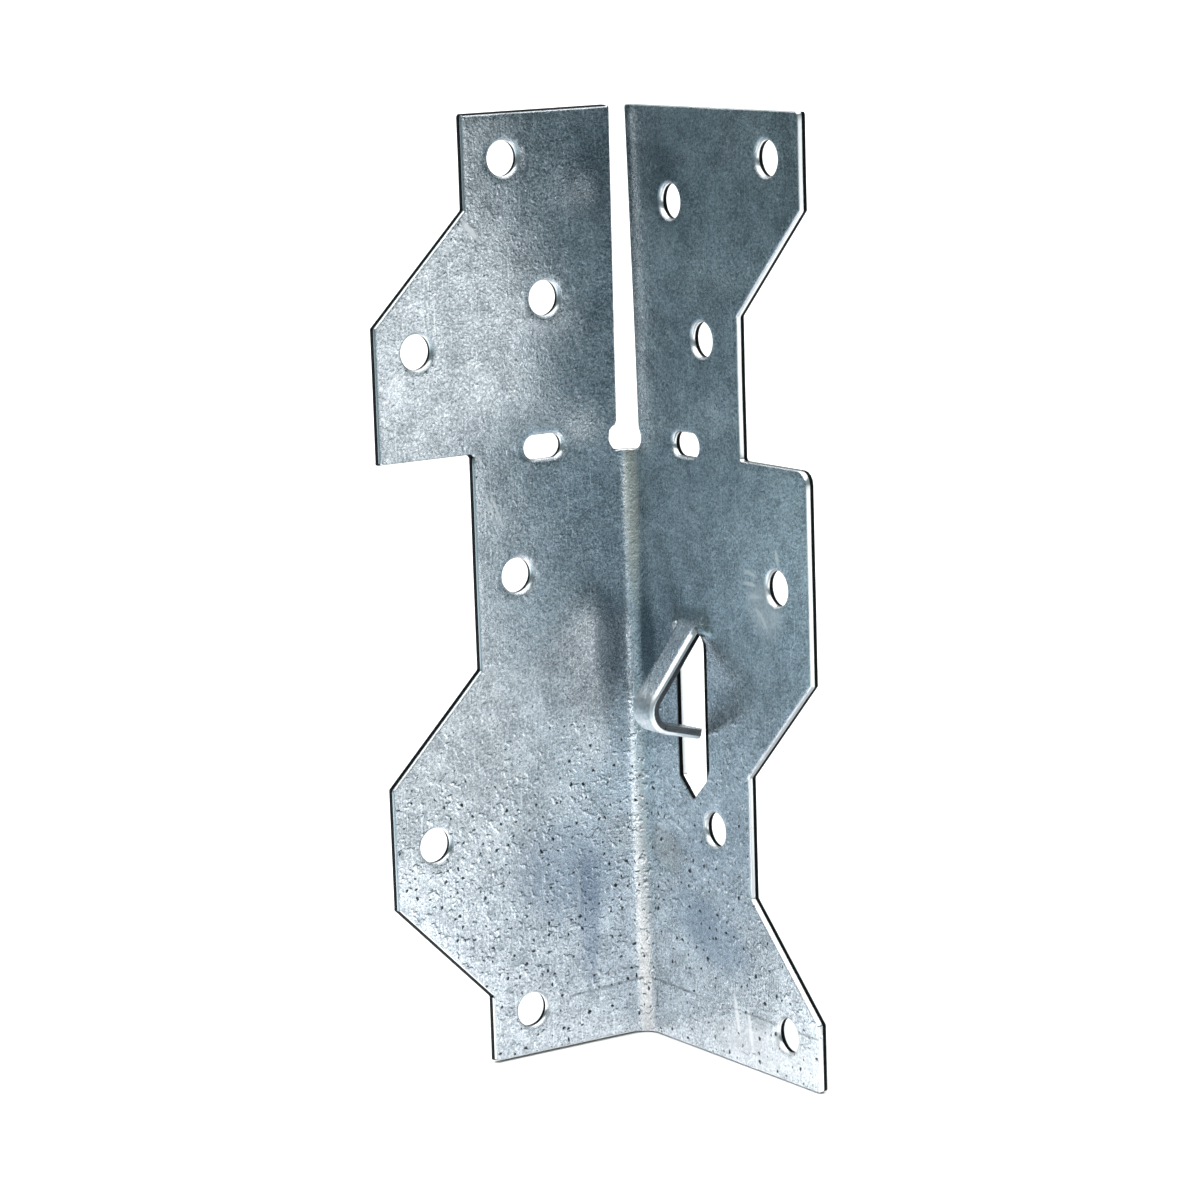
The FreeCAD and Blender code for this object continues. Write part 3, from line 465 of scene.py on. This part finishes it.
# Marks on the hollow side: scratches and scuffs, a thin dark line across both legs near the foot, greyer
# patches low on both legs, a pale band along the right leg's foot, and painted light and shade. The painted
# highlights lie along a crease of the left flap, over the bulge round a nail hole of the right leg, on the
# prong's face and along the fold, and painted shade lies beside the fold and on the upper flaps. Each is a
# spot from one point to another, measured from the heel and up, with a width, a colour and a strength, and it
# fades to nothing at its rim.
# White, for the scuffs and for the painted highlights.
SCUFF_AND_HIGHLIGHT = "#ffffff"
MARKS = [
    # Painted highlight along a crease of the left flap.
    (LEFT, (24.4, 102.1), (21.7, 99.3), 0.9, SCUFF_AND_HIGHLIGHT, 1.0),
    (LEFT, (22.6, 70.2), (21.0, 65.9), 0.5, SCUFF_AND_HIGHLIGHT, 0.8),
    (LEFT, (21.8, 70.3), (19.8, 64.5), 0.5, SCUFF_AND_HIGHLIGHT, 0.7),
    (LEFT, (11.0, 23.2), (11.0, 15.4), 0.5, SCUFF_AND_HIGHLIGHT, 0.5),
    (RIGHT, (19.6, 9.4), (20.8, 2.6), 0.9, SCUFF_AND_HIGHLIGHT, 0.95),
    (RIGHT, (22.4, 8.0), (23.4, 1.6), 0.9, SCUFF_AND_HIGHLIGHT, 0.9),
    # A thin dark line across both legs near the foot.
    (LEFT, (16.0, 6.2), (-2.0, 7.0), 0.45, "#4d585f", 0.45),
    (RIGHT, (-3.0, 7.0), (16.0, 6.6), 0.45, "#4d585f", 0.45),
    (RIGHT, (17.0, 6.7), (42.0, 6.4), 0.45, "#4d585f", 0.55),
    # Painted shade: dim patches on both upper flaps near the fold, and a dark band beside the fold up the
    # right flap.
    (LEFT, (6.4, 111.0), (6.4, 99.0), 9.0, "#7a868f", 0.6),
    (RIGHT, (4.0, 113.0), (14.0, 97.0), 11.0, "#8a969e", 0.5),
    (RIGHT, (2.3, 124.0), (2.9, 68.0), 3.2, "#66727a", 0.6),
    # Greyer patches low on the left leg.
    (LEFT, (22.0, 22.6), (5.0, 22.6), 15.0, "#a3aebb", 0.5),
    (LEFT, (9.5, 26.0), (9.5, 5.5), 3.8, "#909db0", 0.5),
    # Painted shade: dark bands either side of the fold, halfway up.
    (LEFT, (5.6, 57.0), (5.6, 41.0), 4.6, "#76818a", 0.7),
    (RIGHT, (3.4, 58.0), (3.4, 40.0), 5.0, "#646f77", 0.8),
    # Greyer patches low on the right leg, then a pale band along its foot.
    (RIGHT, (2.0, 25.5), (10.5, 22.6), 6.0, "#a8a39d", 0.5),
    (RIGHT, (6.0, 18.0), (25.0, 11.5), 9.0, "#98a8b8", 0.55),
    (RIGHT, (13.0, 2.4), (40.0, 3.6), 8.0, SCUFF_AND_HIGHLIGHT, 0.4),
    # Painted highlight: a broad pale patch over the bulge round a nail hole of the right leg. Thin white
    # strokes round the hole follow.
    (RIGHT, (25.0, 60.0), (31.0, 53.0), 8.0, SCUFF_AND_HIGHLIGHT, 0.5),
    (RIGHT, (23.5, 60.8), (27.0, 60.0), 0.7, SCUFF_AND_HIGHLIGHT, 0.9),
    (RIGHT, (23.2, 59.2), (27.0, 59.0), 0.7, SCUFF_AND_HIGHLIGHT, 0.9),
    (RIGHT, (24.2, 57.6), (27.4, 57.8), 0.7, SCUFF_AND_HIGHLIGHT, 0.9),
    (RIGHT, (25.8, 56.6), (27.9, 55.0), 0.8, SCUFF_AND_HIGHLIGHT, 0.9),
    (RIGHT, (27.0, 55.9), (28.6, 53.8), 0.8, SCUFF_AND_HIGHLIGHT, 0.9),
    (RIGHT, (30.2, 64.2), (31.0, 61.6), 0.8, SCUFF_AND_HIGHLIGHT, 0.9),
    # Painted highlight: the prong's face made paler.
    (RIGHT, (12.7, 56.5), (12.7, 42.0), 7.0, "#dbe8f4", 0.5),
    (RIGHT, (12.85, 46.0), (12.85, 37.0), 8.0, SCUFF_AND_HIGHLIGHT, 0.5),
    # Painted highlight: a paler band along the fold, strongest in its upper part.
    (RIGHT, (1.2, 84.0), (1.2, 52.0), 3.2, "#f4e8dd", 0.9),
    (RIGHT, (1.2, 46.0), (1.2, -18.0), 3.2, "#d2c9c2", 0.5),
]
scuffs_and_highlights = 0.0
for leg, (u_start, z_start), (u_end, z_end), width, code, strength in MARKS:
    s_start, s_end = on_blank(leg, u_start), on_blank(leg, u_end)
    length = math.hypot(s_end - s_start, z_end - z_start)
    spot = add("ShaderNodeMapping", {
        "Vector": place, "Location": ((s_start + s_end) / 2, (z_start + z_end) / 2, SHEET / 2),
        "Rotation": (0, 0, math.atan2(z_end - z_start, s_end - s_start)),
        "Scale": (length / 2, width / 2, SHEET / 2)}, vector_type="TEXTURE").outputs["Vector"]
    fade = add("ShaderNodeTexGradient", {"Vector": spot}, gradient_type="SPHERICAL").outputs["Fac"]
    share = add("ShaderNodeMapRange", {0: fade, 1: 0.0, 2: 0.5, 3: 0.0, 4: strength}).outputs[0]
    skin_and_marks = add("ShaderNodeMix", {0: share, 6: skin_and_marks, 7: linear(code)}, data_type="RGBA").outputs[2]
    if code == SCUFF_AND_HIGHLIGHT:
        scuffs_and_highlights = add("ShaderNodeMath", {0: share, 1: scuffs_and_highlights}, operation="MAXIMUM").outputs[0]

# Pits: small dark bare spots where the zinc did not take, thick on the lower third and rare above it. There
# is at most one in each cell of a wobbled lattice, and they crowd together where the skin is mottled pale.
PIT, PIT_WOBBLE = 1.5, 0.7
PIT_SMALL, PIT_LARGE, PIT_RIM = 0.03, 0.15, 0.04
PITS_THICK, PITS_RARE = 30.0, 46.0
wobble = add("ShaderNodeTexNoise", {"Vector": place, "Scale": 1 / PIT_WOBBLE, "Detail": 1.0}).outputs["Color"]
pit_place = add("ShaderNodeVectorMath", {0: wobble, 1: (PIT_WOBBLE, PIT_WOBBLE, 0.0), 2: place},
                operation="MULTIPLY_ADD").outputs["Vector"]
pit_cell = add("ShaderNodeTexVoronoi", {"Vector": pit_place, "Scale": 1 / PIT}, voronoi_dimensions="2D")
pit_kind = add("ShaderNodeSeparateColor", {"Color": pit_cell.outputs["Color"]}).outputs["Green"]
upward = add("ShaderNodeSeparateXYZ", {"Vector": place}).outputs["Y"]
rarity = add("ShaderNodeMapRange", {0: upward, 1: PITS_THICK, 2: PITS_RARE, 3: 0.8, 4: 1.35}).outputs[0]
crowd = add("ShaderNodeMath", {0: mottle, 1: 0.9, 2: pit_kind}, operation="MULTIPLY_ADD").outputs[0]
pit_chosen = add("ShaderNodeMath", {0: crowd, 1: rarity}, operation="SUBTRACT").outputs[0]
pit_reach = add("ShaderNodeMapRange", {0: pit_chosen, 1: 0.0, 2: 0.65, 3: PIT_SMALL, 4: PIT_LARGE}).outputs[0]
pit_core = add("ShaderNodeMath", {0: pit_reach, 1: pit_cell.outputs["Distance"]},
               operation="SUBTRACT").outputs[0]
pit_soft = add("ShaderNodeMapRange", {0: pit_core, 1: -PIT_SMALL, 2: PIT_RIM, 3: 0.0, 4: 0.95}).outputs[0]
pit_there = add("ShaderNodeMath", {0: pit_chosen, 1: 0.0}, operation="GREATER_THAN").outputs[0]
pit = add("ShaderNodeMath", {0: pit_soft, 1: pit_there}, operation="MULTIPLY").outputs[0]
pitted = add("ShaderNodeMix", {0: pit, 6: skin_and_marks, 7: linear("#20282e")}, data_type="RGBA")

# Dross: low grains of hard zinc from the bath, about half a millimetre across. They are thick on the lower
# part and thin above it.
DROSS = 0.8
DROSS_THICK, DROSS_THIN = 32.0, 50.0
dross = add("ShaderNodeTexNoise", {"Vector": faces_apart, "Scale": 1 / DROSS, "Detail": 1.0}).outputs["Fac"]
dross_grain = add("ShaderNodeMapRange", {0: dross, 1: 0.55, 2: 0.74, 3: 0.0, 4: 1.0}).outputs[0]
dross_share = add("ShaderNodeMapRange", {0: upward, 1: DROSS_THICK, 2: DROSS_THIN, 3: 1.0, 4: 0.3}).outputs[0]
grains = add("ShaderNodeMath", {0: dross_grain, 1: dross_share}, operation="MULTIPLY").outputs[0]

# Where the punch went through, the zinc is wiped off: a bright burnished band, then dark torn steel with a
# grain of its own.
burnished = add("ShaderNodeAttribute", {}, attribute_name="burnished").outputs["Fac"]
torn = add("ShaderNodeAttribute", {}, attribute_name="torn").outputs["Fac"]
cut = add("ShaderNodeMix", {0: burnished, 6: pitted.outputs[2], 7: linear("#fdfeff")}, data_type="RGBA")
grain = add("ShaderNodeMix", {0: frosted, 6: linear("#07090a"), 7: linear("#2c3033")}, data_type="RGBA")
steel = add("ShaderNodeMix", {0: torn, 6: cut.outputs[2], 7: grain.outputs[2]}, data_type="RGBA")
tree.links.new(steel.outputs[2], shader.inputs["Base Color"])

# The sheen: satin where the frost lies, even on the burnished band, dull on torn steel and on the white
# marks, scuffs and painted highlights alike. Frost and grains stand in relief where the zinc is left, and
# pits are sunk. Their heights are in metres.
SATIN_LEAST, SATIN_MOST = 0.14, 0.38
BURNISHED_ROUGH, TORN_ROUGH, WHITE_MARK_ROUGH = 0.3, 0.4, 0.35
FROST_HIGH, GRAIN_HIGH, PIT_DEEP = 2.8e-5, 6e-5, 6e-5
glint = add("ShaderNodeSeparateColor", {"Color": frost.outputs["Color"]}).outputs["Green"]
satin = add("ShaderNodeMapRange", {0: glint, 1: NOISE_LOW, 2: NOISE_HIGH,
                                   3: SATIN_LEAST, 4: SATIN_MOST}).outputs[0]
wiped = add("ShaderNodeMix", {0: burnished, 2: satin, 3: BURNISHED_ROUGH}).outputs[0]
dull = add("ShaderNodeMath", {0: torn, 1: TORN_ROUGH, 2: wiped}, operation="MULTIPLY_ADD").outputs[0]
scratched = add("ShaderNodeMath", {0: scuffs_and_highlights, 1: WHITE_MARK_ROUGH, 2: dull}, operation="MULTIPLY_ADD").outputs[0]
tree.links.new(scratched, shader.inputs["Roughness"])
zinc_left = add("ShaderNodeMath", {0: 1.0, 1: burnished}, operation="SUBTRACT").outputs[0]
relief = add("ShaderNodeBump", {"Strength": zinc_left, "Distance": FROST_HIGH, "Height": fine})
lumps = add("ShaderNodeBump", {"Strength": zinc_left, "Distance": GRAIN_HIGH, "Height": grains,
                               "Normal": relief.outputs["Normal"]})
dents = add("ShaderNodeBump", {"Strength": 1.0, "Distance": PIT_DEEP, "Height": pit,
                               "Normal": lumps.outputs["Normal"]}, invert=True)
tree.links.new(dents.outputs["Normal"], shader.inputs["Normal"])


# The floor is a wide sheet of pale matt paper. The metal mirrors a graduated sheet instead, which the camera
# does not see: dim blue grey at the front, white under the object, and pale at the back beyond a grey stripe.
# The white under the object is painted light that cancels the object's own shade on the sheet, and the grey
# stripe is a painted shadow of the right leg.
def paper_sheet(name, code, reach, height):
    """A square sheet of matt paper of one colour, with its reach each way and its height in metres."""
    corners = [(a * reach, b * reach, height) for a, b in [(-1, -1), (1, -1), (1, 1), (-1, 1)]]
    sheet_mesh = bpy.data.meshes.new(name)
    sheet_mesh.from_pydata(corners, [], [(0, 1, 2, 3)])
    paper = bpy.data.materials.new(name)
    paper.use_nodes = True
    matt = paper.node_tree.nodes["Principled BSDF"]
    matt.inputs["Base Color"].default_value = linear(code)
    matt.inputs["Roughness"].default_value = 0.9
    sheet_mesh.materials.append(paper)
    sheet = bpy.data.objects.new(name, sheet_mesh)
    bpy.context.scene.collection.objects.link(sheet)
    return sheet


floor = paper_sheet("white_paper_floor", "#f4f4f2", 9.0, -0.0002)
floor.visible_glossy = False
graduated = paper_sheet("graduated_paper", "#c3c6c8", 4.0, -0.0001)
graduated.visible_camera = False
graduated.visible_shadow = False
graduated.visible_diffuse = False
PAPER_TURN, PAPER_FRONT, PAPER_BACK = math.radians(-8), -0.4, 0.25
tree = graduated.data.materials[0].node_tree
in_metres = add("ShaderNodeTexCoord", {}).outputs["Object"]
on_paper = add("ShaderNodeMapping", {"Vector": in_metres, "Rotation": (0, 0, PAPER_TURN)}).outputs["Vector"]
depth = add("ShaderNodeSeparateXYZ", {"Vector": on_paper}).outputs["Y"]
backward = add("ShaderNodeMapRange", {0: depth, 1: PAPER_FRONT, 2: PAPER_BACK}).outputs[0]
fading = add("ShaderNodeValToRGB", {"Fac": backward})
# Painted light and shadow: the white stops cancel the object's shade under it, and the grey stops behind it
# paint the right leg's shadow.
paper_tones_and_painted_shadow = [(0.0, "#293a3e"), (0.29, "#788c93"), (0.395, "#81959d"), (0.41, "#90a2a9"), (0.49, "#8b9da6"),
         (0.54, "#9babb5"), (0.57, "#e9ecee"), (0.6, "#f8f9fa"), (0.645, "#f4f5f6"), (0.67, "#84888a"),
         (0.72, "#84888a"), (0.77, "#e0e1e1"), (0.89, "#e0e1e1"), (1.0, "#dcdddd")]
while len(fading.color_ramp.elements) < len(paper_tones_and_painted_shadow):
    fading.color_ramp.elements.new(1.0)
for element, (position, code) in zip(fading.color_ramp.elements, paper_tones_and_painted_shadow):
    element.position = position
    element.color = linear(code)
tree.links.new(fading.outputs["Color"], tree.nodes["Principled BSDF"].inputs["Base Color"])

# A soft overhead light evens out the paper, and a fill from the front, which the metal does not mirror, lifts
# the paper inside the corner. The room beyond stays dim.
LAMPS = [("overhead", 4.2, 101, (0, 0, 0)), ("front_fill", 2.3, 40, (38, 30, 0))]
world = bpy.data.worlds.new("studio")
bpy.context.scene.world = world
world.use_nodes = True
room = world.node_tree.nodes["Background"]
room.inputs["Color"].default_value = linear("#8faaaf")
room.inputs["Strength"].default_value = 0.36
for name, energy, spread, tilt in LAMPS:
    lamp = bpy.data.lights.new(name, "SUN")
    lamp.energy = energy
    lamp.angle = math.radians(spread)
    light = bpy.data.objects.new(name, lamp)
    light.rotation_euler = [math.radians(a) for a in tilt]
    light.visible_glossy = name == "overhead"
    bpy.context.scene.collection.objects.link(light)

# The camera stands where the photograph was taken from: in front of the hollow corner, a little to the right
# and just above the flaps. Its numbers were fitted to corners and hole centres of the photograph.
AZIMUTH, ELEVATION, ROLL = math.radians(56.58), math.radians(9.99), -0.03255
TARGET, DISTANCE = Vector((-0.019458, 0.01335, 0.054285)), 0.4938
lens = bpy.data.cameras.new("camera")
lens.sensor_width = 36.0
lens.lens = 121.58
camera = bpy.data.objects.new("camera", lens)
level = math.cos(ELEVATION)
back = Vector((math.sin(AZIMUTH) * level, -math.cos(AZIMUTH) * level, math.sin(ELEVATION)))
aim = (-back).to_track_quat("-Z", "Y").to_matrix().to_4x4()
camera.matrix_world = Matrix.Translation(TARGET + back * DISTANCE) @ aim @ Matrix.Rotation(ROLL, 4, "Z")
bpy.context.scene.collection.objects.link(camera)
bpy.context.scene.camera = camera
bpy.context.scene.view_settings.view_transform = "Standard"
